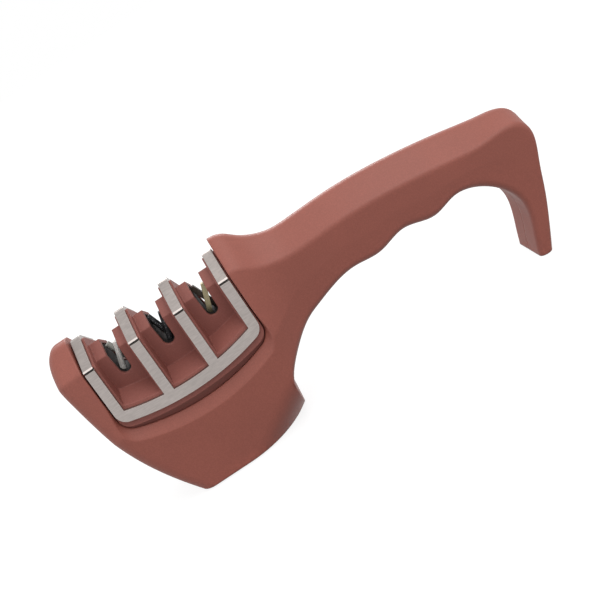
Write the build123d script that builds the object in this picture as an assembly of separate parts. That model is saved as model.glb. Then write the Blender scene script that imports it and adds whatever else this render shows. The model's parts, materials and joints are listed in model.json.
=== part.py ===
from build123d import *
import math
import os

os.makedirs("parts", exist_ok=True)

# Driving dimensions, millimetres.
# X runs from the toe to the hook and is measured from the middle of the sharpening module,
# Y runs from the near side to the far side, Z runs up from the table.
toe_reach = 44.6          # module middle to the foremost point of the toe
tail_reach = 160.6        # module middle to the hindmost point of the handle
shoulder_top = 80.1       # highest point of the body, just behind the module
lobe_drop = 2.0           # the flat top of the toe lobe lies this much lower
skirt_gap = 0.6           # table to the lower edge of the shell
wall = 2.5                # moulded wall of the shell
overrun = 0.6             # cutters reach this far past the face that they open

# house shaped cross-section of the head and of the handle
head_half = 20.7          # half width of the head below the knee
knee_height = 39.0
fold_half = 14.7          # half width at the upper crease
fold_height = 67.6
ridge_round = 4.0
fold_round = 2.5
under_round = 3.0
handle_half = 12.1
handle_fold_half = 12.0
under_half = 11.6
roof_slope = 41.5         # degrees

# base
toe_foot = 23.6           # module middle to the toe edge of the base
heel_start = 2.0          # the base starts to narrow this far in front of the middle
heel_round = 33.0         # plan radius of the two arcs that meet in the pointed heel
toe_corner = 5.0
heel_lean = 1.42          # the heel's side faces lean back this far per unit of height

# sharpening module
slot_pitch = 20.0
bar_width = 4.1
sheet = 1.6               # thickness of the bright comb
rail_bottom = 39.4
rail_width = 4.4
rail_round = 108.0        # radius of the rails' smile
rail_corner = 5.0
face_lean = 0.2           # the module's faces lean in this far per unit of height
comb_fold_half = 15.0
comb_slope = 32.2         # degrees, roof of the comb
groove = 0.8              # bend line pressed in below the comb's fold
groove_depth = 0.9
rim_half = 32.7
frame_step = 0.5          # the comb stands back from the rim at each end
rim_bottom = 33.8
rim_round = 82.0
rim_corner = 7.0
rim_y = 18.0              # the undercut rim runs in to here
saddle_gap = 0.4          # all round gap between the module and its saddle
channel_y = 17.6          # the bevel round the saddle starts here
channel_step = 2.1        # the bevel reaches this far past the rim at each end
channel_drop = 5.9        # and this far below it
channel_round = 80.0
channel_corner = 9.0

# cover
lip = 0.8                 # plastic rib beside each metal bar
shield_half = 8.0         # half thickness of the roofed wall that carries the slots
shield_fold = 66.3
shield_ridge = 71.0
cover_wall = 1.6
floor_rise = 0.37         # the recess floor climbs this much per unit towards the wall
slot_half = 2.4
slot_bottom = 55.7
slot_top_half = 3.2
fit_gap = 0.2             # free fit between moulded pieces
roof_gap = 0.3

# tray and pocket
tray_thick = 4.2
tray_inset_x = 6.7        # the tray ends this far inside the rim
tray_inset_y = 1.8
tub_half_x = 18.0
tub_half_y = 10.0
tub_bottom = 26.2
tub_wall = 1.8
pocket_gap = 0.3
seat_gap = 0.05           # the tub stands on the pocket floor
keeper_bottom = 44.0
keeper_thick = 2.0
keeper_inset = 4.8        # the keeper ends this far inside the comb
keeper_half_y = 6.1
pedestal = 3.0
holder_half = 7.4

# rods and bars
rod_radius = 1.2
rod_fit = 0.05
rod_top = 67.0
rod_bottom = 46.65
rod_stagger = 1.6
blade_side = 2.1          # square section of the carbide bars

# fasteners
shell_head = 2.6          # radius of the screw heads in the shell
shell_head_thick = 1.6
shell_shank = 1.4
shell_reach = 7.0
shell_head_top = 8.4
shell_boss = 3.4
shell_pocket_boss = 4.2
driver_gap = 0.3
base_head = 2.4
base_head_thick = 1.2
base_shank = 1.2
base_screw_top = 10.5
base_boss = 3.2
tray_head = 2.3
tray_head_thick = 1.4
tray_shank = 1.1
tray_screw_top = 44.0
tray_boss = 3.0
thread_gap = 0.02
recess_width = 0.8
recess_depth = 0.8

# base plate and pad
plate_bottom = 1.0
plate_top = 3.6
plate_wall = 1.3
plate_gap = 0.1
pad_inset = 3.2
tread_width = 1.2
tread_depth = 0.5
tread_pitch = 5.0

# places of rods and screws
tilts = [20.0, 16.0, 20.0]                # degrees from upright
crossings = [61.7, 57.0, 60.2]            # height where the two axes cross
base_screw_front = 15.0
base_screw_back = 8.0
base_screw_half = 13.0
tray_screw_inset = 3.6    # from the tray's edges

far = 300.0               # well outside the object
tiny = 0.01               # flat within this

# shares of tail_reach and shoulder_top: ridge line and underside line of shoulder, handle and hook
ridge_shares = [(0.187, 0.992), (0.215, 1.0), (0.237, 0.988), (0.269, 0.937), (0.301, 0.898), (0.336, 0.874),
                (0.39, 0.868), (0.508, 0.873), (0.668, 0.849), (0.83, 0.795), (0.912, 0.763), (0.955, 0.746),
                (0.985, 0.712), (1.0, 0.65), (0.984, 0.456), (0.967, 0.318), (0.949, 0.193), (0.917, 0.0)]
under_shares = [(0.187, 0.193), (0.197, 0.25), (0.23, 0.322), (0.262, 0.37), (0.301, 0.416), (0.349, 0.455),
                (0.405, 0.493), (0.467, 0.511), (0.537, 0.501), (0.613, 0.535), (0.694, 0.5), (0.757, 0.53),
                (0.83, 0.487), (0.872, 0.41), (0.898, 0.3), (0.896, 0.193), (0.884, 0.094), (0.874, 0.0)]
# shares of toe_reach and shoulder_top: toe line from the base up to the lobe
toe_shares = [(0.757, 0.243), (0.839, 0.362), (0.919, 0.532), (0.98, 0.724), (1.0, 0.85), (0.96, 0.935),
              (0.84, 0.975)]
toe_start = (-1.0, 1.6)                           # direction of the toe line at the base
toe_end = (1.0, 0.0)                              # and at the lobe's flat top
flank_shares = (0.01, 0.15)       # the head's flanks run out into the handle between these path shares
roof_shares = (0.58, 0.76)        # the handle's roof fades out into the hook between these
hook_shares = (0.70, 1.0)         # the hook narrows between these
hollow_shares = (0.033, 0.867)    # the handle is hollow between these
hook_roof_share = 0.15
hook_width_share = 0.95
lean_share = 0.35                 # sections lean so that both lines turn the corner together
round_share = 0.9                 # most of a short side that its rounding takes
inner_round_share = 0.4           # least rounding of an inner corner
comb_edge_share = 0.5             # rounding of the comb's fold, of the sheet
cross_share = 0.7                 # reach of a screw's cross recess, of its head
upright_cross_share = 0.8         # depth of the small screws' recess, of the large ones'
toe_screw_shares = (0.6278, 0.27466)      # of toe_reach and shoulder_top
# shares of tail_reach and shoulder_top: screws in the shoulder, the handle and the hook
handle_screw_shares = [(0.25841, 0.5618), (0.59153, 0.69288), (0.93711, 0.42447)]
sections = 60

# worked out from the sizes above
lobe_top = shoulder_top - lobe_drop
join_x = ridge_shares[0][0] * tail_reach          # plane where head and handle meet
heel_height = under_shares[0][1] * shoulder_top
frame_half = rim_half - frame_step
channel_half = rim_half + channel_step
channel_bottom = rim_bottom - channel_drop
tray_half_x = rim_half - tray_inset_x
tray_half_y = rim_y - tray_inset_y
keeper_half_x = frame_half - keeper_inset
slots = [-slot_pitch, 0.0, slot_pitch]
rib_centres = [-slot_pitch / 2, slot_pitch / 2]
holder_names = ["ceramic", "diamond", "carbide"]
shell_screw_places = [(-toe_screw_shares[0] * toe_reach, toe_screw_shares[1] * shoulder_top)]
shell_screw_places += [(x * tail_reach, z * shoulder_top) for x, z in handle_screw_shares]
base_screw_places = [(x, y) for x in (-base_screw_front, base_screw_back)
                     for y in (base_screw_half, -base_screw_half)]
tray_screw_x = tray_half_x - tray_screw_inset
tray_screw_y = tray_half_y - tray_screw_inset
tray_screw_places = [(x, y) for x in (tray_screw_x, -tray_screw_x) for y in (tray_screw_y, -tray_screw_y)]


def rounded(points, radii):
    """Closed flat outline with a tangent arc at each corner that has a radius."""
    corners = []
    count = len(points)
    for i in range(count):
        here = Vector(*points[i])
        back = (Vector(*points[i - 1]) - here).normalized()
        ahead = (Vector(*points[(i + 1) % count]) - here).normalized()
        half = math.acos(max(-1.0, min(1.0, back.dot(ahead)))) / 2
        if radii[i] > 0:
            reach = radii[i] / math.tan(half)
            middle = (back + ahead).normalized() * (radii[i] / math.sin(half) - radii[i])
            corners.append((here + back * reach, here + middle, here + ahead * reach))
        else:
            corners.append((here, None, here))
    edges = []
    for i in range(count):
        start, middle, end = corners[i]
        if middle is not None:
            edges.append(ThreePointArc(start, middle, end))
        edges.append(Line(end, corners[(i + 1) % count][0]))
    return make_face(Wire(edges))


def ease(share, limits):
    """Smooth step from 0 to 1 between two limits."""
    s = min(max((share - limits[0]) / (limits[1] - limits[0]), 0.0), 1.0)
    return s * s * (3 - 2 * s)


def along_x(section, left, right):
    return extrude(Plane.YZ.offset(left) * section, amount=right - left)


def along_y(outline, near, far_side):
    return extrude(Plane.XZ.offset(-near) * outline, amount=near - far_side)


def box(x0, x1, y0, y1, z0, z1):
    return Pos((x0 + x1) / 2, (y0 + y1) / 2, (z0 + z1) / 2) * Box(x1 - x0, y1 - y0, z1 - z0)


def upright(x, y, z0, z1, radius):
    return Pos(x, y, (z0 + z1) / 2) * Cylinder(radius, z1 - z0)


def across(x, z, y0, y1, radius):
    return Pos(x, (y0 + y1) / 2, z) * Rot(90, 0, 0) * Cylinder(radius, y1 - y0)


def smile(half, bottom, radius, corner, top):
    """Outline with a bowed bottom, rounded lower corners and upright sides."""
    centre = bottom + radius
    inner = radius - corner
    corner_x = half - corner
    corner_z = centre - math.sqrt(inner**2 - corner_x**2)
    touch = Vector(corner_x, corner_z - centre).normalized()
    low = (touch.X * radius, touch.Y * radius + centre)
    middle = Vector(corner_x, corner_z) + (touch + Vector(1, 0)).normalized() * corner
    left_middle = (-middle.X, middle.Y)
    edges = [
        ThreePointArc((-low[0], low[1]), (0, bottom), low),
        ThreePointArc(low, (middle.X, middle.Y), (half, corner_z)),
        Line((half, corner_z), (half, top)),
        Line((half, top), (-half, top)),
        Line((-half, top), (-half, corner_z)),
        ThreePointArc((-half, corner_z), left_middle, (-low[0], low[1])),
    ]
    return make_face(Wire(edges))


def line_of(shares):
    return Spline(*[(x * tail_reach, z * shoulder_top) for x, z in shares])


ridge_line = line_of(ridge_shares)
under_line = line_of(under_shares)


def house(t, inset):
    """Cross-section of the body at path share t, in its own plane, moved in by inset."""
    top = ridge_line @ t
    foot = under_line @ (t + lean_share * t * (1 - t))
    axis = Vector(top.X - foot.X, 0, top.Y - foot.Y)
    depth = axis.length
    flank = ease(t, flank_shares)
    roof = 1 + (hook_roof_share - 1) * ease(t, roof_shares)
    narrow = 1 + (hook_width_share - 1) * ease(t, hook_shares)
    fold = (fold_half + (handle_fold_half - fold_half) * flank) * narrow
    knee = (head_half + (handle_half - head_half) * flank) * narrow
    low = (head_half + (under_half - head_half) * flank) * narrow
    slope = math.atan(math.tan(math.radians(roof_slope)) * roof)
    drop = fold * math.tan(slope)
    lift = ridge_round * (1 / math.cos(slope) - 1)
    peak = depth + lift
    knee_z = (knee_height - foot.Y) * (1 - flank) + (peak - drop) / 2 * flank
    fold_r = min(fold_round, round_share * (peak - drop - knee_z))
    under_r = min(under_round, round_share * knee_z)
    low_z = inset
    peak_z = peak - inset / math.cos(slope)
    fold_z = peak_z - (fold - inset) * math.tan(slope)
    points = [(low - inset, low_z), (knee - inset, knee_z), (fold - inset, fold_z), (0, peak_z),
              (inset - fold, fold_z), (inset - knee, knee_z), (inset - low, low_z)]
    small = fold_r * inner_round_share
    radii = [max(under_r - inset, small), 0, max(fold_r - inset, small), max(ridge_round - inset, small),
             max(fold_r - inset, small), 0, max(under_r - inset, small)]
    origin = (foot.X, 0, foot.Y)
    normal = Vector(0, 1, 0).cross(axis.normalized())
    return Plane(origin=origin, x_dir=(0, 1, 0), z_dir=normal) * rounded(points, radii)


def head_section(inset):
    """Flat YZ section of the head, open far below the base."""
    top = (ridge_line @ 0).Y
    slope = math.radians(roof_slope)
    peak = top + ridge_round * (1 / math.cos(slope) - 1) - inset / math.cos(slope)
    side = head_half - inset
    fold = fold_half - inset
    fold_z = peak - fold * math.tan(slope)
    fold_r = max(fold_round - inset, fold_round * inner_round_share)
    points = [(side, -wall), (side, knee_height), (fold, fold_z), (0, peak), (-fold, fold_z),
              (-side, knee_height), (-side, -wall)]
    return rounded(points, [0, 0, fold_r, max(ridge_round - inset, fold_r), fold_r, 0, 0])


def side_profile(inset):
    """Side view of the head: base, toe, flat lobe top and the plane where the handle starts."""
    toe = [(-toe_foot, skirt_gap)]
    toe += [(-x * toe_reach, z * shoulder_top) for x, z in toe_shares]
    toe[-1] = (toe[-1][0], lobe_top)
    toe_line = Spline(*toe, tangents=[toe_start, toe_end])
    if inset > 0:
        moved = []
        for j in range(len(toe)):
            share = j / (len(toe) - 1)
            here = toe_line @ share
            along = toe_line % share
            moved.append((here.X + along.Y * inset, here.Y - along.X * inset))
        toe_line = Spline(*moved, tangents=[toe_start, toe_end])
    low, end = toe_line @ 0, toe_line @ 1
    heel_x = base_heel(0) - inset
    last_x = join_x - inset
    high = shoulder_top + wall - inset
    edges = [
        Line((heel_x, low.Y), (low.X, low.Y)),
        toe_line,
        Line((end.X, end.Y), (-toe_foot, end.Y)),
        Line((-toe_foot, end.Y), (0, high)),
        Line((0, high), (last_x, high)),
        Line((last_x, high), (last_x, heel_height)),
        Line((last_x, heel_height), (heel_x, low.Y)),
    ]
    return make_face(Wire(edges))


def base_heel(inset):
    """X of the pointed heel."""
    reach = heel_round - inset
    drop = heel_round - head_half
    return math.sqrt(reach**2 - drop**2) - heel_start


def base_plan(inset, toe_x, corner):
    """Plan of the base: square toe, two arcs meeting in a pointed heel."""
    half = head_half - inset
    reach = heel_round - inset
    heel = base_heel(inset)
    drop = heel_round - head_half
    angle = (math.pi / 2 + math.atan2(drop, heel + heel_start)) / 2
    mid = (reach * math.cos(angle) - heel_start, drop - reach * math.sin(angle))
    edges = [
        Line((toe_x, -half), (-heel_start, -half)),
        ThreePointArc((-heel_start, -half), mid, (heel, 0)),
        ThreePointArc((heel, 0), (mid[0], -mid[1]), (-heel_start, half)),
        Line((-heel_start, half), (toe_x, half)),
        Line((toe_x, half), (toe_x, -half)),
    ]
    face = make_face(Wire(edges))
    if corner > 0:
        corners = face.vertices().sort_by(Axis.X)[:2]
        face = fillet(corners, corner)
    return face


def head_form():
    form = along_x(head_section(0), -toe_reach - wall, join_x) & along_y(side_profile(0), -far, far)
    form = form.solids()[0]
    toe_edges = []
    for edge in form.edges():
        box_of = edge.bounding_box()
        if box_of.size.X < tiny or box_of.max.X > overrun - toe_foot and box_of.size.Z < tiny:
            continue
        sides = [f for f in form.faces() if any(edge.is_same(e) for e in f.edges())]
        kinds = [f.geom_type for f in sides]
        if GeomType.EXTRUSION in kinds and box_of.max.Z > skirt_gap + tiny:
            toe_edges.append(edge)
    form = form.fillet(toe_corner, toe_edges)
    plan = base_plan(0, -far, 0)
    heel = extrude(plan, amount=far, dir=(heel_lean, 0, 1))
    return form & heel


def body_form():
    form = head_form() + loft([house(j / sections, 0) for j in range(sections + 1)])
    return form.solids()[0] - saddle_tool(0) - channel_tool(1) - channel_tool(-1) - pocket_tool(0)


def saddle_tool(grow):
    """The module's outline plus the gap, run through the head from side to side."""
    half = rim_half + saddle_gap + grow
    bottom = rim_bottom - saddle_gap - grow
    outline = smile(half, bottom, rim_round + grow, rim_corner + saddle_gap + grow, shoulder_top + far)
    return along_y(outline, -far, far)


def channel_tool(side):
    """Bevel round the saddle's mouth on one side."""
    inner = smile(rim_half + saddle_gap, rim_bottom - saddle_gap, rim_round, rim_corner + saddle_gap, far)
    outer = smile(channel_half, channel_bottom, channel_round, channel_corner, far)
    start = Plane.XZ.offset(side * channel_y) * inner
    end = Plane.XZ.offset(side * (head_half + overrun)) * outer
    return loft([start, end], ruled=True)


def pocket_tool(grow):
    return box(-tub_half_x - pocket_gap - grow, tub_half_x + pocket_gap + grow,
               -tub_half_y - pocket_gap - grow, tub_half_y + pocket_gap + grow,
               tub_bottom - seat_gap - grow, rail_bottom)


def shell_cavity():
    """Hollow of the shell, still without its screw bosses."""
    section = head_section(wall)
    head = along_x(section, -far, join_x + wall) & along_y(side_profile(wall), -far, far)
    head = head & box(-far, far, -far, far, plate_top, far)
    head = head & extrude(base_plan(wall, -far, 0), amount=far, dir=(heel_lean, 0, 1))
    head = head - saddle_tool(wall) - channel_cover(1) - channel_cover(-1) - pocket_tool(wall)
    first, last = [round(share * sections) for share in hollow_shares]
    handle = loft([house(j / sections, wall) for j in range(first, last + 1)])
    return head, handle


def channel_cover(side):
    """Keeps a full wall of plastic behind the bevel."""
    outer = smile(channel_half + wall, channel_bottom - wall, channel_round + wall, channel_corner + wall, far)
    start = head_half - wall - wall - overrun
    return along_y(outer, -far if side < 0 else start, -start if side < 0 else far)


def shell_bosses(side):
    """Screw bosses inside one half: side 1 is the near half, side -1 the far half with the driver holes."""
    bosses = []
    for x, z in shell_screw_places:
        if side > 0:
            bosses.append(across(x, z, -far, 0, shell_boss))
        else:
            bosses.append(across(x, z, 0, far, shell_pocket_boss))
    for x, y in base_screw_places:
        if y * side < 0:
            bosses.append(upright(x, y, 0, rail_bottom, base_boss))
    return bosses


def shell_holes(side):
    """Screw holes of one half."""
    holes = []
    for x, z in shell_screw_places:
        if side > 0:
            holes.append(across(x, z, -shell_reach - fit_gap, 0, shell_shank + thread_gap))
        else:
            under_head = shell_head_top - shell_head_thick
            holes.append(across(x, z, 0, under_head, shell_shank + fit_gap))
            holes.append(across(x, z, under_head, far, shell_head + driver_gap))
    for x, y in base_screw_places:
        if y * side < 0:
            holes.append(upright(x, y, 0, base_screw_top + fit_gap, base_shank + thread_gap))
    return holes


def shell_half(form, hollows, side):
    """Near half (side 1) or far half (side -1) of the shell, parted on the middle plane."""
    if side > 0:
        keep = box(-far, far, -far, 0, -far, far)
    else:
        keep = box(-far, far, 0, far, -far, far)
    recess = extrude(base_plan(plate_wall, plate_wall - toe_foot, toe_corner - plate_wall), amount=plate_top)
    spaces = [(hollow & keep) - shell_bosses(side) for hollow in hollows]
    return (form & keep) - [recess, *spaces, *shell_holes(side)]


def shell_screws():
    screws = []
    reach = shell_head * cross_share
    half = recess_width / 2
    under_head = shell_head_top - shell_head_thick
    deep = shell_head_top - recess_depth
    for x, z in shell_screw_places:
        screw = across(x, z, under_head, shell_head_top, shell_head)
        screw += across(x, z, -shell_reach, under_head, shell_shank)
        bar = box(x - reach, x + reach, deep, far, z - half, z + half)
        cross = box(x - half, x + half, deep, far, z - reach, z + reach)
        screws.append(screw - bar - cross)
    return screws


def upright_screws(places, bottom, head, head_thick, shank, top):
    """Screws driven from below, with a cross recess in the head."""
    screws = []
    reach = head * cross_share
    half = recess_width / 2
    over_head = bottom + head_thick
    deep = bottom + recess_depth * upright_cross_share
    for x, y in places:
        screw = upright(x, y, bottom, over_head, head) + upright(x, y, over_head, top, shank)
        bar = box(x - reach, x + reach, y - half, y + half, 0, deep)
        cross = box(x - half, x + half, y - reach, y + reach, 0, deep)
        screws.append(screw - bar - cross)
    return screws


def base_plate():
    inset = plate_wall + plate_gap
    plate = Pos(0, 0, plate_bottom) * extrude(base_plan(inset, inset - toe_foot, toe_corner - inset),
                                              amount=plate_top - plate_bottom)
    for x, y in base_screw_places:
        plate -= upright(x, y, plate_bottom, plate_bottom + base_head_thick, base_head + fit_gap)
        plate -= upright(x, y, plate_bottom, plate_top, base_shank + fit_gap)
    return plate


def foot_pad():
    plan = base_plan(pad_inset, pad_inset - toe_foot, toe_corner - pad_inset / 2)
    pad = extrude(plan, amount=plate_bottom)
    count = int((toe_foot + heel_start + heel_round / 2) / tread_pitch)
    for j in range(1, count):
        x = pad_inset - toe_foot + j * tread_pitch
        pad -= box(x - tread_width / 2, x + tread_width / 2, -far, far, 0, tread_depth)
    return pad


# The sharpening module.
def comb_section(inset, low):
    """YZ section of the module's leaning faces and roof, moved in by inset."""
    lean = math.atan(face_lean)
    slope = math.radians(comb_slope)
    face_y = comb_fold_half - inset / math.cos(lean)      # at the fold's height
    peak = fold_height + comb_fold_half * math.tan(slope) - inset / math.cos(slope)
    fold_y = (peak - fold_height - face_y / face_lean) / (math.tan(slope) - 1 / face_lean)
    fold_z = peak - fold_y * math.tan(slope)
    low_y = face_y + face_lean * (fold_height - low)
    points = [(low_y, low), (fold_y, fold_z), (0, peak), (-fold_y, fold_z), (-low_y, low)]
    edge = sheet * comb_edge_share
    return rounded(points, [0, edge, max(ridge_round - inset, sheet), edge, 0])


def window_shape(x0, x1, bottom, grow):
    """Outline of one window with the rails' bowed line as its sill."""
    def sill(x):
        radius = rail_round - rail_width
        return bottom + radius - math.sqrt(radius**2 - x**2)

    left, right = x0 - grow, x1 + grow
    middle = (left + right) / 2
    edges = [
        ThreePointArc((left, sill(left)), (middle, sill(middle)), (right, sill(right))),
        Line((right, sill(right)), (right, far)),
        Line((right, far), (left, far)),
        Line((left, far), (left, sill(left))),
    ]
    return make_face(Wire(edges))


def windows():
    """X limits of the three windows between the metal bars."""
    half = bar_width / 2
    inner = [rib_centres[0], rib_centres[1]]
    edge = frame_half - bar_width
    return [(-edge, inner[0] - half), (inner[0] + half, inner[1] - half), (inner[1] + half, edge)]


def comb_frame():
    outline = smile(frame_half, rail_bottom, rail_round, rail_corner, far)
    solid = along_x(comb_section(0, rim_bottom), -frame_half, frame_half)
    solid -= along_x(comb_section(sheet, 0), -far, far)
    solid = solid & along_y(outline, -far, far)
    for x0, x1 in windows():
        solid -= along_y(window_shape(x0, x1, rail_bottom + rail_width, 0), -far, far)
    for side in (-1, 1):
        y = side * comb_fold_half
        low = fold_height - groove
        solid -= box(-far, far, y - groove_depth, y + groove_depth, low - groove / 2, low + groove / 2)
    return solid


def cover_block():
    """Outer form of the cover: rim, undercut band and the faces under the comb."""
    rim = smile(rim_half, rim_bottom, rim_round, rim_corner, far)
    edge = smile(frame_half, rail_bottom, rail_round, rail_corner, far)
    block = along_y(rim, -rim_y, rim_y)
    reach = comb_fold_half + face_lean * (fold_height - rail_bottom)
    for side in (1, -1):
        start = Plane.XZ.offset(side * rim_y) * rim
        end = Plane.XZ.offset(side * reach) * edge
        block += loft([start, end], ruled=True)
    return block & along_x(comb_section(sheet, 0), -far, far)


def shield_section(inset, low):
    slope = (shield_ridge - shield_fold) / shield_half
    peak = shield_ridge - inset * math.sqrt(1 + slope**2)
    half = shield_half - inset
    return make_face(Polyline((half, low), (half, peak - half * slope), (0, peak), (-half, peak - half * slope),
                              (-half, low), close=True))


def slot_shape(x, grow):
    """U notch with a round bottom that opens a little towards the ridge."""
    centre = slot_bottom + slot_half
    radius = slot_half + grow
    flare = slot_top_half + grow
    top = shield_ridge + wall
    edges = [
        ThreePointArc((x - radius, centre), (x, centre - radius), (x + radius, centre)),
        Line((x + radius, centre), (x + flare, top)),
        Line((x + flare, top), (x - flare, top)),
        Line((x - flare, top), (x - radius, centre)),
    ]
    return make_face(Wire(edges))


def rim_line(x):
    """Height of the rim's bowed bottom line at x."""
    return rim_bottom + rim_round - math.sqrt(rim_round**2 - x**2)


def under_arc(rise, half):
    """Everything below the rim's bowed bottom line raised by rise, within half."""
    high = rim_line(half) + rise
    edges = [
        ThreePointArc((-half, high), (0, rim_line(0) + rise), (half, high)),
        Line((half, high), (half, 0)),
        Line((half, 0), (-half, 0)),
        Line((-half, 0), (-half, high)),
    ]
    return along_y(make_face(Wire(edges)), -far, far)


def cartridge_cover():
    cover = cover_block()
    shield = along_x(shield_section(0, 0), -far, far)
    for x0, x1 in windows():
        shape = window_shape(x0, x1, rail_bottom + rail_width, -lip)
        face_y = comb_fold_half + face_lean * (fold_height - rail_bottom)
        cuts = box(x0 + lip, x1 - lip, -far, far, shield_fold, far)
        for side in (-1, 1):
            start = Plane.XZ.offset(-side * (face_y + wall)) * shape
            start = Pos(0, 0, -floor_rise * wall) * start
            cuts += extrude(start, amount=face_y + wall, dir=(0, -side, floor_rise))
        cover -= cuts - shield
    for x in slots:
        cover -= along_y(slot_shape(x, 0), -far, far)
    cover -= along_x(shield_section(cover_wall, 0), -keeper_half_x - fit_gap, keeper_half_x + fit_gap)
    low = tray_half_y + fit_gap
    mid = shield_half - cover_wall
    ceiling = rail_bottom + rail_width - cover_wall / 2
    high = ceiling + (low - mid) * floor_rise
    lower = Polyline((-low, 0), (-low, ceiling), (-mid, high), (mid, high), (low, ceiling), (low, 0),
                     close=True)
    hollow = along_x(make_face(lower), -tray_half_x - fit_gap, tray_half_x + fit_gap)
    for x, y in tray_screw_places:
        hollow -= upright(x, y, 0, far, tray_boss) - under_arc(tray_thick, frame_half)
    cover -= hollow
    core = along_x(comb_section(sheet + cover_wall, 0), -far, far) & box(-far, far, -far, far, high, far)
    half = bar_width / 2 + lip - cover_wall
    for x in rib_centres:
        cover -= core & box(x - half, x + half, -far, far, 0, far)
    for x, y in tray_screw_places:
        cover -= upright(x, y, 0, tray_screw_top + fit_gap, tray_shank + thread_gap)
    return cover


def cartridge_tray():
    rim = smile(rim_half, rim_bottom, rim_round, rim_corner, far)
    plate = along_y(rim, -tray_half_y, tray_half_y) & under_arc(tray_thick, tray_half_x)
    tub = box(-tub_half_x, tub_half_x, -tub_half_y, tub_half_y, tub_bottom, rim_bottom + tray_thick)
    inner_x, inner_y = tub_half_x - tub_wall, tub_half_y - tub_wall
    tray = plate + tub - box(-inner_x, inner_x, -inner_y, inner_y, tub_bottom + tub_wall, far)
    for x in rib_centres:
        left, right = x - pedestal / 2, x + pedestal / 2
        tray += box(left, right, -inner_y, inner_y, tub_bottom + tub_wall / 2, rim_bottom)
        tray += box(left, right, -keeper_half_y, keeper_half_y, rim_bottom, keeper_bottom)
    for side in (-1, 1):
        x = side * (tray_half_x - pedestal / 2)
        tray += box(x - pedestal / 2, x + pedestal / 2, -keeper_half_y, keeper_half_y,
                    rim_line(tray_half_x) + tray_thick / 2, keeper_bottom)
    for x, y in tray_screw_places:
        seat = screw_seat(x)
        tray -= upright(x, y, 0, seat + tray_head_thick, tray_head + fit_gap)
        tray -= upright(x, y, 0, far, tray_shank + fit_gap)
    return tray


def screw_seat(x):
    """Lower end of a tray screw: just inside the tray's bowed underside."""
    return rim_line(abs(x) + tray_head) + fit_gap


def cartridge_screws():
    seat = screw_seat(tray_screw_places[0][0])
    return upright_screws(tray_screw_places, seat, tray_head, tray_head_thick, tray_shank, tray_screw_top)


def keeper_plate():
    return box(-keeper_half_x, keeper_half_x, -keeper_half_y, keeper_half_y,
               keeper_bottom, keeper_bottom + keeper_thick)


def rod_axis(j, side):
    """Plane on the axis of one rod of slot j; side -1 has its upper end on the left."""
    tilt = math.radians(tilts[j])
    low_x = slots[j] - side * (crossings[j] - rod_bottom) * math.tan(tilt)
    direction = Vector(side * math.sin(tilt), 0, math.cos(tilt))
    length = (rod_top - rod_bottom) / math.cos(tilt)
    return Plane(origin=(low_x, side * -rod_stagger, rod_bottom), x_dir=(0, 1, 0), z_dir=direction), length


def rod_section(j, grow):
    """Round ceramic and diamond rods, square carbide bars."""
    if holder_names[j] == "carbide":
        return Rectangle(blade_side + grow + grow, blade_side + grow + grow)
    return Circle(rod_radius + grow)


def rod(j, side):
    plane, length = rod_axis(j, side)
    return plane * extrude(rod_section(j, 0), amount=length)


def holder(j):
    section = shield_section(cover_wall + roof_gap, keeper_bottom + keeper_thick)
    block = along_x(section, slots[j] - holder_half, slots[j] + holder_half)
    block -= along_y(slot_shape(slots[j], fit_gap + fit_gap), -far, far)
    for side in (-1, 1):
        plane, length = rod_axis(j, side)
        bore = extrude(rod_section(j, rod_fit), amount=wall + length + wall)
        block -= plane * Pos(0, 0, -wall) * bore
    return block


def write(name, shape):
    """Write one node, moved so that X is measured from the middle of the whole object."""
    place = Pos((toe_reach - tail_reach) / 2, 0, 0)
    if isinstance(shape, list):
        moved = Compound([place * s for s in shape])
    else:
        moved = place * shape
    export_step(moved, "parts/" + name + ".step")


form = body_form()
hollows = shell_cavity()
write("body_near_half", shell_half(form, hollows, 1))
write("body_far_half", shell_half(form, hollows, -1))
write("shell_screws", shell_screws())
write("base_plate", base_plate())
base_screws = upright_screws(base_screw_places, plate_bottom, base_head, base_head_thick, base_shank,
                             base_screw_top)
write("base_screws", base_screws)
write("foot_pad", foot_pad())
write("comb_frame", comb_frame())
write("cartridge_cover", cartridge_cover())
write("cartridge_tray", cartridge_tray())
write("cartridge_screws", cartridge_screws())
write("keeper_plate", keeper_plate())
for j, name in enumerate(holder_names):
    write(name + "_holder", holder(j))
    piece = "blade" if name == "carbide" else "rod"
    write(name + "_" + piece + "_left", rod(j, -1))
    write(name + "_" + piece + "_right", rod(j, 1))
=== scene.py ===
# %% [markdown]
# # A pull through knife sharpener
# The object is a hand tool for the kitchen: a moulded body with an angular hooked handle, and a
# sharpening module that drops into a saddle in its head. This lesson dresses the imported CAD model.
# The CAD model stays the fixed frame, so every value that is a length is in metres in its axes:
# X runs from the toe to the hook, Y from the near side to the far side and Z up from the table.

# %% Load the frame
import json
import math

import bpy
from mathutils import Matrix, Vector


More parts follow.
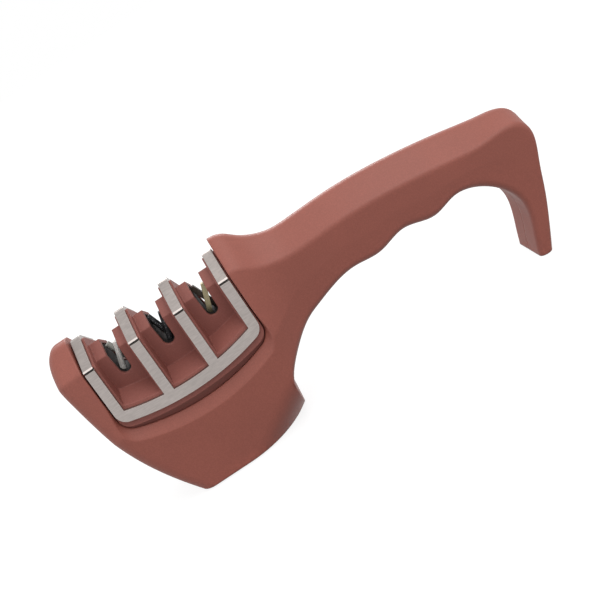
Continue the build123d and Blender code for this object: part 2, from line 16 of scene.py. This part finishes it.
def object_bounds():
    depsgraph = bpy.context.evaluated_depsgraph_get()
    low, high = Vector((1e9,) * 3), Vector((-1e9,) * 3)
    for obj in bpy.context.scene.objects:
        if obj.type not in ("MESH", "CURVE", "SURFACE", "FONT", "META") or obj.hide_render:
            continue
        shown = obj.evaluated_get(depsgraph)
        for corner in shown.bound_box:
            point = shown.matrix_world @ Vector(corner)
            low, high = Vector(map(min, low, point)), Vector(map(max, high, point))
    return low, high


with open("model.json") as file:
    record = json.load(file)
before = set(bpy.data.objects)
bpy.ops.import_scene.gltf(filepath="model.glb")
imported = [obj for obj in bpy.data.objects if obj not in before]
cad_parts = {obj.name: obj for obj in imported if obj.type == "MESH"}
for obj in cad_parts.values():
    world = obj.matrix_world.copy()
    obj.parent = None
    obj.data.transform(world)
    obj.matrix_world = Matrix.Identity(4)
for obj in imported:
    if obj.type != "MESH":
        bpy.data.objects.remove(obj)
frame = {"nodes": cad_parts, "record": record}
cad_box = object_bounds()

nodes = frame["nodes"]
for plain in list(bpy.data.materials):
    bpy.data.materials.remove(plain)
print("nodes", len(nodes), "box", [[round(v, 4) for v in corner] for corner in cad_box])

# %% [markdown]
# ## Shader expressions
# A finish is easier to read as sums and products than as a list of links. A `Value` wraps one
# output socket, and the usual signs add Math nodes. Colours and vectors go through Vector Math,
# because a Math node would turn them grey. Minus also has its reflected form, so that `1 - mask`
# works. `Recipe` is the node tree of one material or of the room, with one method that makes any
# node and short ones for the nodes that every finish here uses.


# %% Value and Recipe
class Value:
    """One output socket, with Python's own signs."""

    def __init__(self, recipe, socket):
        self.recipe = recipe
        self.socket = socket

    def _join(self, operation, first, second):
        wide = any(isinstance(v, tuple) or isinstance(v, Value) and v.socket.type in ("RGBA", "VECTOR")
                   for v in (first, second))
        kind = "ShaderNodeVectorMath" if wide else "ShaderNodeMath"
        return self.recipe.node(kind, {"operation": operation}, {0: first, 1: second})

    def __add__(self, other):
        return self._join("ADD", self, other)

    def __sub__(self, other):
        return self._join("SUBTRACT", self, other)

    def __rsub__(self, other):
        return self._join("SUBTRACT", other, self)

    def __mul__(self, other):
        return self._join("MULTIPLY", self, other)


def shaded(colour, factor):
    """The same colour, darker or paler."""
    return tuple(min(c * factor, 1.0) for c in colour)


class Recipe:
    """The node tree of a material or of the world."""

    mix_share, mix_first, mix_second, mix_result = 0, 6, 7, 2    # the Mix node's sockets for colours

    def __init__(self, owner):
        self.owner = owner
        owner.use_nodes = True
        self.tree = owner.node_tree
        self.tree.nodes.clear()

    def node(self, kind, settings, inputs, output=0):
        """Adds a node: its settings first, then the values or links of its sockets."""
        made = self.tree.nodes.new(kind)
        for key, value in settings.items():
            setattr(made, key, value)
        for key, value in inputs.items():
            socket = made.inputs[key]
            if isinstance(value, Value):
                self.tree.links.new(value.socket, socket)
            elif socket.type == "VECTOR" and isinstance(value, (int, float)):
                socket.default_value = (value, value, value)
            elif socket.type == "RGBA":
                socket.default_value = (*value, 1.0)
            else:
                socket.default_value = value
        return Value(self, made.outputs[output]) if made.outputs else None

    def place(self):
        """Where a point lies in the piece's own axes, in metres, so that patterns ride with it."""
        return self.node("ShaderNodeTexCoord", {}, {}, "Object")

    def part(self, vector, axis):
        return self.node("ShaderNodeSeparateXYZ", {}, {0: vector}, axis)

    def noise(self, place, lumps, detail, rough):
        """Soft noise from 0 to 1 with so many lumps per metre."""
        inputs = {"Vector": place, "Scale": lumps, "Detail": detail, "Roughness": rough}
        return self.node("ShaderNodeTexNoise", {}, inputs, "Fac")

    def band(self, value, low, high, to_low=0.0, to_high=1.0):
        """Takes low..high to another range, smoothly and clamped."""
        inputs = {"Value": value, "From Min": low, "From Max": high, "To Min": to_low, "To Max": to_high}
        return self.node("ShaderNodeMapRange", {"interpolation_type": "SMOOTHSTEP"}, inputs)

    def mix(self, share, first, second):
        """The first colour where share is 0 and the second where it is 1."""
        inputs = {self.mix_share: share, self.mix_first: first, self.mix_second: second}
        return self.node("ShaderNodeMix", {"data_type": "RGBA"}, inputs, self.mix_result)

    def dappled(self, pattern, limits, colour, tones):
        """The colour times the first tone where the pattern is low, and times the second where it is high."""
        dark, pale = tones
        return self.mix(self.band(pattern, *limits), shaded(colour, dark), shaded(colour, pale))

    def bump(self, height, distance, strength, normal):
        inputs = {"Height": height, "Distance": distance, "Strength": strength, "Normal": normal}
        return self.node("ShaderNodeBump", {}, inputs)

    def surface(self, inputs):
        shader = self.node("ShaderNodeBsdfPrincipled", {}, inputs)
        self.node("ShaderNodeOutputMaterial", {}, {"Surface": shader})
        return self.owner


print("shader helpers ready")

# %% [markdown]
# ## Camera
# The photograph looks down on the near side by 22 degrees, and the picture is turned by about 34.
# The camera could be aimed at the object with a constraint, but the picture's turn is the camera's
# own roll, so its three axes are worked out here and set as one matrix. The object itself stands
# level on the table.

# %% Camera
camera_place = Vector((-0.0047, -0.3268, 0.1701))
camera_lift = math.radians(22.0)
camera_turn = math.radians(-0.607)
camera_roll = math.radians(33.826)
lens_mm = 53.07
sensor_mm = 36.0
near_clip = 0.01
level = math.cos(camera_lift)
forward = Vector((math.sin(camera_turn) * level, math.cos(camera_turn) * level, -math.sin(camera_lift)))
level_right = forward.cross(Vector((0, 0, 1))).normalized()
level_up = level_right.cross(forward)
right = math.cos(camera_roll) * level_right - math.sin(camera_roll) * level_up
up = math.sin(camera_roll) * level_right + math.cos(camera_roll) * level_up
camera_data = bpy.data.cameras.new("camera")
camera_data.lens = lens_mm
camera_data.sensor_width = sensor_mm
camera_data.clip_start = near_clip
camera = bpy.data.objects.new("camera", camera_data)
camera_axes = Matrix((right, up, -forward)).transposed().to_4x4()
camera.matrix_world = Matrix.Translation(camera_place) @ camera_axes
bpy.context.scene.collection.objects.link(camera)
bpy.context.scene.camera = camera
print("camera at", [round(v, 3) for v in camera_place])

# %% [markdown]
# ## Light
# The photograph is lit like most catalogue pictures: a pale room does the most, a soft lamp stands
# above and in front, a weak one at the left, and one behind lifts the far edges. Disk lamps are used
# because their highlights stay round on the rounded creases. The room has two strengths. One is what
# it throws on the object. The other is plain white, for rays that come from the camera or off a
# gloss, so the object's light can be fitted and the background stays white.

# %% Lamps and room
white = (1.0, 1.0, 1.0)
key_power = 3.4
fill_power = 0.6
back_power = 6.0
room_light = 1.02
room_white = 1.0
aim = Vector((0.0, 0.0, 0.04))


def lamp(name, place, size, power, colour):
    data = bpy.data.lights.new(name, "AREA")
    data.shape = "DISK"
    data.size = size
    data.energy = power
    data.color = colour
    made = bpy.data.objects.new(name, data)
    made.location = place
    made.rotation_euler = (aim - Vector(place)).to_track_quat("-Z", "Y").to_euler()
    bpy.context.scene.collection.objects.link(made)


def seen_rays(recipe):
    """1 for what the camera, a gloss or a clear piece looks at, 0 for light that is spread."""
    seen = 0.0
    for kind in ("Is Camera Ray", "Is Glossy Ray", "Is Transmission Ray"):
        ray = recipe.node("ShaderNodeLightPath", {}, {}, kind)
        seen = recipe.node("ShaderNodeMath", {"operation": "MAXIMUM"}, {0: seen, 1: ray})
    return seen


lamp("key_lamp", place=(0.35, -0.35, 0.95), size=0.7, power=key_power, colour=(1.0, 0.985, 0.96))
lamp("fill_lamp", place=(-0.7, -0.8, 0.35), size=0.9, power=fill_power, colour=(0.97, 0.98, 1.0))
lamp("back_lamp", place=(0.1, 0.9, 0.6), size=0.7, power=back_power, colour=white)
world = bpy.data.worlds.new("room")
bpy.context.scene.world = world
room = Recipe(world)
room_strength = room.band(seen_rays(room), 0.0, 1.0, room_light, room_white)
sky = room.node("ShaderNodeBackground", {}, {"Color": white, "Strength": room_strength})
room.node("ShaderNodeOutputWorld", {}, {"Surface": sky})
bpy.context.scene.view_settings.view_transform = "Standard"

# %% [markdown]
# ## Floor
# The floor is a grey sheet. A white one would throw light up under the head and the handle, and the
# photograph has those faces dark. Where the camera sees it, a glow is added, so that it runs into
# the white room and still keeps the object's soft shadow.

# %% Floor
floor_reach = 6.0
floor_drop = 0.0002
floor_grey = 0.18
floor_glow = 0.86
floor_mesh = bpy.data.meshes.new("floor")
corners = [(x * floor_reach, y * floor_reach, 0.0) for x, y in ((-1, -1), (1, -1), (1, 1), (-1, 1))]
floor_mesh.from_pydata(corners, [], [(0, 1, 2, 3)])
floor = bpy.data.objects.new("floor", floor_mesh)
floor.location.z = cad_box[0][2] - floor_drop
bpy.context.scene.collection.objects.link(floor)
paper = Recipe(bpy.data.materials.new("floor_paper"))
matt = paper.node("ShaderNodeBsdfDiffuse", {}, {"Color": (floor_grey, floor_grey, floor_grey)})
glow_strength = seen_rays(paper) * floor_glow
glow = paper.node("ShaderNodeEmission", {}, {"Color": white, "Strength": glow_strength})
lit = paper.node("ShaderNodeAddShader", {}, {0: matt, 1: glow})
paper.node("ShaderNodeOutputMaterial", {}, {"Surface": lit})
floor_mesh.materials.append(paper.owner)
print("floor at", round(floor.location.z, 4))

# %% [markdown]
# ## Creases and worn edges
# Real mouldings and pressed sheet have no razor edges: light always catches a thin round there.
# The mesh could be bevelled, but the CAD pieces are fixed, so a Bevel node bends the normal near an
# edge instead. Where that normal leaves the plain one is also where hands and cloths rub, so their
# difference is a mask for wear.

# %% Creases
bevel_samples = 6
crease_start = 0.995          # cosines of the angle between the two normals
crease_full = 0.9


def soft_edges(recipe, radius):
    return recipe.node("ShaderNodeBevel", {"samples": bevel_samples}, {"Radius": radius})


def rubbed_edges(recipe, soft):
    """1 on a crease, 0 on an open face."""
    plain_normal = recipe.node("ShaderNodeNewGeometry", {}, {}, "Normal")
    inputs = {0: soft, 1: plain_normal}
    same = recipe.node("ShaderNodeVectorMath", {"operation": "DOT_PRODUCT"}, inputs, "Value")
    return recipe.band(same, crease_start, crease_full)


print("crease helpers ready")

# %% [markdown]
# ## Moulded plastic
# The body and the module's cover are dyed plastic from a spark eroded mould: matt, with a pebble
# like skin of about 0.4 mm. An image could carry that skin, but noise in the piece's own axes has
# no seams. Some things keep it from looking like paint: the dye drifts over some centimetres, there
# are specks a shade darker or paler, and the skin is polished by the hand on the handle, rubbed on
# the creases and scuffed where it stands. Faces that look down are darkened with painted shade.

# %% Noise limits and dye
middle = (0.3, 0.7)           # most of a noise's values lie between these
upper = (0.35, 0.7)           # the same with a larger dark side
outer = (0.2, 0.8)
cloud_lumps = 28.0            # lumps are counted per metre
cloud_tones = (0.95, 1.05)    # tones are factors of the finish's colour
cloud_polish = 0.04
cloud_dull = 0.05
speck_lumps = 1900.0
speck_tones = (0.93, 1.07)
pebble_lumps = 2600.0
pebble_strength = 0.5
print("pebbles of", round(1000.0 / pebble_lumps, 2), "mm")

# %% Wear and painted shade
scuff_lumps = 520.0
scuff_limits = (0.46, 0.6)
scuff_height = 0.006          # scuffs reach this far up from the table
scuff_share = 0.35
scuff_tone = 1.6
scuff_dull = 0.15
grip_start = -0.03            # the hand holds the handle between these
grip_end = 0.095
grip_fade = 0.03
grip_polish = 0.08
undercut_start = -0.1         # how far the normal looks down before a face gets painted shade
undercut_full = -0.5
# how dark the painted shade on faces that look down is, as a factor of the colour
painted_shade_tone = 0.3
rub_share = 0.3
rub_tone = 1.35
rub_polish = 0.08
print("grip from", grip_start, "to", grip_end)


# %% Moulded plastic
def moulded(name, colour, rough, skin, edge, gloss, painted_shade):
    """Skin is the pebbles' height, edge the round of the creases, and painted_shade how strongly the faces
    that look down are darkened as painted shade.
    """
    recipe = Recipe(bpy.data.materials.new(name))
    place = recipe.place()
    cloud = recipe.noise(place, cloud_lumps, detail=4.0, rough=0.6)
    speck = recipe.noise(place, speck_lumps, detail=2.0, rough=0.6)
    soft = soft_edges(recipe, edge)
    rubbed = rubbed_edges(recipe, soft)
    along = recipe.part(place, "X")
    grip = recipe.band(along, grip_start - grip_fade, grip_start)
    grip = grip * recipe.band(along, grip_end, grip_end - grip_fade)
    foot = recipe.band(recipe.part(place, "Z"), scuff_height, 0.0)
    scuff = foot * recipe.band(recipe.noise(place, scuff_lumps, detail=4.0, rough=0.7), *scuff_limits)
    facing = recipe.node("ShaderNodeTexCoord", {}, {}, "Normal")
    painted_shade_below = recipe.band(recipe.part(facing, "Z"), undercut_start, undercut_full)
    tone = recipe.dappled(speck, upper, colour, speck_tones)
    tone = tone * recipe.band(cloud, *middle, *cloud_tones)
    # painted shade: faces whose normal looks down are darkened
    tone = recipe.mix(painted_shade_below * painted_shade, tone, shaded(colour, painted_shade_tone))
    tone = recipe.mix(rubbed * rub_share, tone, shaded(colour, rub_tone))
    tone = recipe.mix(scuff * scuff_share, tone, shaded(colour, scuff_tone))
    pebbles = recipe.noise(place, pebble_lumps, detail=3.0, rough=0.65)
    normal = recipe.bump(pebbles, skin, pebble_strength, soft)
    roughness = recipe.band(cloud, *outer, rough - cloud_polish, rough + cloud_dull)
    roughness = roughness - rubbed * rub_polish - grip * cloud * grip_polish + scuff * scuff_dull
    return recipe.surface({"Base Color": tone, "Roughness": roughness, "Normal": normal,
                           "Specular IOR Level": gloss})


# painted_shade is how much painted shade each plastic gets on its faces that look down
shell_plastic = moulded("shell_plastic", colour=(0.285, 0.086, 0.063), rough=0.50, skin=0.00005,
                        edge=0.0012, gloss=0.34, painted_shade=0.1)
# The cover has the shell's dye made darker: partly its own colour and partly painted shade for its recessed
# windows.
cover_plastic = moulded("cover_plastic", colour=(0.245, 0.082, 0.066), rough=0.55, skin=0.00005,
                        edge=0.0008, gloss=0.28, painted_shade=0.55)
black_plastic = moulded("black_plastic", colour=(0.026, 0.021, 0.020), rough=0.7, skin=0.00004,
                        edge=0.0003, gloss=0.14, painted_shade=0.2)
pad_rubber = moulded("pad_rubber", colour=(0.016, 0.016, 0.016), rough=0.75, skin=0.00008,
                     edge=0.0002, gloss=0.25, painted_shade=0.2)
print("plastics", shell_plastic.name, cover_plastic.name, black_plastic.name, pad_rubber.name)

# %% [markdown]
# ## Plated metal
# The comb is pressed sheet with a satin plating, brushed along its rails, and the screws are zinc
# plated. Brushing is a noise that is squeezed across the strokes, and it moves tone and relief
# together. The comb has a groove under its fold: painted shade turns the finish to a dull brown
# between two heights there, and a painted highlight makes the fold just above it bright.

# %% Brushing, painted groove shade and painted fold highlight
stroke_tones = (0.9, 1.08)
stroke_relief = 0.00002
stroke_strength = 0.4
smudge_lumps = 45.0
smudge_tones = (0.96, 1.03)
smudge_polish = 0.05
smudge_dull = 0.06
bare_share = 0.6              # the plating is rubbed bare on the creases
bare_tone = 1.5
bare_polish = 0.1
fold_line = 0.0668            # middle of the groove's painted shade, above the table
fold_line_half = 0.00045
fold_line_core = 0.7          # share of that half with the full colour
groove_shade_metal_loss = 0.9
# the dull brown of the painted shade inside the groove
painted_groove_shade = (0.020, 0.015, 0.012)
fold_highlight_low = 0.0673          # a painted highlight makes the fold above it bright between these heights
fold_highlight_high = 0.0679
fold_highlight_fade = 0.0001
painted_fold_highlight_tone = 2.1
fold_highlight_polish = 0.12
print("bend line at", fold_line, "bright fold from", fold_highlight_low)


# %% Plated metal
def plated(name, colour, rough, strokes, edge, painted_fold_shade_and_highlight):
    """Strokes are the brushing's lumps per metre along each axis."""
    recipe = Recipe(bpy.data.materials.new(name))
    place = recipe.place()
    brushed = recipe.noise(place * strokes, 1.0, detail=4.0, rough=0.6)
    smudge = recipe.noise(place, smudge_lumps, detail=3.0, rough=0.55)
    soft = soft_edges(recipe, edge)
    rubbed = rubbed_edges(recipe, soft)
    tone = recipe.dappled(brushed, middle, colour, stroke_tones)
    tone = tone * recipe.band(smudge, *middle, *smudge_tones)
    tone = recipe.mix(rubbed * bare_share, tone, shaded(colour, bare_tone))
    roughness = recipe.band(smudge, *middle, rough - smudge_polish, rough + smudge_dull)
    roughness = roughness - rubbed * bare_polish
    metallic = 1.0
    # painted shade in the groove under the fold, and a painted highlight on the fold above it
    if painted_fold_shade_and_highlight:
        height = recipe.part(place, "Z")
        bright = recipe.band(height, fold_highlight_low - fold_highlight_fade, fold_highlight_low)
        bright = bright * recipe.band(height, fold_highlight_high, fold_highlight_high - fold_highlight_fade)
        # painted highlight: the fold is made paler and glossier
        tone = recipe.mix(bright, tone, shaded(colour, painted_fold_highlight_tone))
        roughness = roughness - bright * fold_highlight_polish
        # painted shade: the groove turns dull brown and loses most of its metal
        off = recipe.node("ShaderNodeMath", {"operation": "ABSOLUTE"}, {0: height - fold_line})
        groove_shade = recipe.band(off, fold_line_half, fold_line_half * fold_line_core)
        tone = recipe.mix(groove_shade, tone, painted_groove_shade)
        metallic = 1.0 - groove_shade * groove_shade_metal_loss
    normal = recipe.bump(brushed, stroke_relief, stroke_strength, soft)
    return recipe.surface({"Base Color": tone, "Roughness": roughness, "Metallic": metallic,
                           "Normal": normal})


comb_metal = plated("comb_metal", colour=(0.395, 0.355, 0.335), rough=0.36,
                    strokes=(300.0, 300.0, 2400.0), edge=0.0003, painted_fold_shade_and_highlight=True)
screw_steel = plated("screw_steel", colour=(0.42, 0.42, 0.43), rough=0.35,
                     strokes=(900.0, 900.0, 900.0), edge=0.0002, painted_fold_shade_and_highlight=False)
print("metals", comb_metal.name, screw_steel.name)

# %% [markdown]
# ## Stones
# The first slot has a coarse grey and a fine white ceramic rod, the second two steel rods with a
# coat of diamond grit, and the last two ground bars of hard metal. Each is grit at its own size:
# noise for the ground faces, and Voronoi cells for the diamonds, because single crystals glint and
# noise would blur them together.

# %% Ground stones
stone_edge = 0.0001
grit_tones = (0.8, 1.15)
grit_strength = 0.7
dust_per_grit = 12            # dust lies in patches this many grains wide
dust_tones = (0.9, 1.05)
dust_rough = 0.05


def ground(name, colour, rough, grit_lumps, relief, metallic):
    recipe = Recipe(bpy.data.materials.new(name))
    place = recipe.place()
    grit = recipe.noise(place, grit_lumps, detail=3.0, rough=0.7)
    dust = recipe.noise(place, grit_lumps / dust_per_grit, detail=2.0, rough=0.5)
    tone = recipe.dappled(grit, upper, colour, grit_tones)
    tone = tone * recipe.band(dust, *middle, *dust_tones)
    normal = recipe.bump(grit, relief, grit_strength, soft_edges(recipe, stone_edge))
    roughness = recipe.band(dust, *middle, rough - dust_rough, rough + dust_rough)
    return recipe.surface({"Base Color": tone, "Roughness": roughness, "Metallic": metallic,
                           "Normal": normal})


white_ceramic = ground("white_ceramic", colour=(0.80, 0.79, 0.75), rough=0.6, grit_lumps=3200.0,
                       relief=0.00004, metallic=0.0)
grey_ceramic = ground("grey_ceramic", colour=(0.36, 0.36, 0.33), rough=0.65, grit_lumps=2400.0,
                      relief=0.00006, metallic=0.0)
carbide_dark = ground("carbide_dark", colour=(0.055, 0.04, 0.03), rough=0.35, grit_lumps=2600.0,
                      relief=0.00004, metallic=0.7)
carbide_brass = ground("carbide_brass", colour=(0.36, 0.31, 0.19), rough=0.4, grit_lumps=2600.0,
                       relief=0.00004, metallic=0.8)
print("ground", white_ceramic.name, grey_ceramic.name, carbide_dark.name, carbide_brass.name)

# %% Diamond grit
glint_limits = (0.82, 0.97)   # only the cells with the highest random value glint
glint_polish = 0.25
glint_metal = 0.6
crystal_relief = 0.0001
crystal_strength = 0.8
crystal_rough = 0.5


def gritted(name, colour, glint, grains):
    """Glint is the colour of the bright crystals, grains their number per metre."""
    recipe = Recipe(bpy.data.materials.new(name))
    inputs = {"Vector": recipe.place(), "Scale": grains}
    cells = recipe.node("ShaderNodeTexVoronoi", {"feature": "F1"}, inputs, "Color")
    height = recipe.node("ShaderNodeTexVoronoi", {"feature": "F1"}, inputs, "Distance")
    bright = recipe.band(recipe.part(cells, "X"), *glint_limits)
    tone = recipe.mix(bright, colour, glint)
    soft = soft_edges(recipe, stone_edge)
    normal = recipe.bump(1.0 - height, crystal_relief, crystal_strength, soft)
    return recipe.surface({"Base Color": tone, "Roughness": crystal_rough - bright * glint_polish,
                           "Metallic": bright * glint_metal, "Normal": normal})


diamond_black = gritted("diamond_black", colour=(0.018, 0.018, 0.02), glint=(0.30, 0.30, 0.32),
                        grains=4200.0)
print("gritted", diamond_black.name)

# %% [markdown]
# ## Dressing the CAD pieces
# Each CAD node takes its finish by the record's slot name. A whole mesh set to smooth would smear
# its corners, and a flat one would show the facets of the handle, so faces are smooth and every
# corner sharper than the limit is kept crisp.

# %% Dress
crisp_corner = math.radians(24.0)
finishes = {m.name: m for m in (shell_plastic, cover_plastic, black_plastic, pad_rubber,
                                comb_metal, screw_steel, white_ceramic, grey_ceramic,
                                diamond_black, carbide_dark, carbide_brass)}
slot_of = {part["node"]: part["material_slot"] for part in frame["record"]["subparts"]}
for name, thing in nodes.items():
    thing.data.materials.clear()
    thing.data.materials.append(finishes[slot_of[name]])
    for polygon in thing.data.polygons:
        polygon.use_smooth = True
    thing.data.set_sharp_from_angle(angle=crisp_corner)
print("dressed", len(nodes))
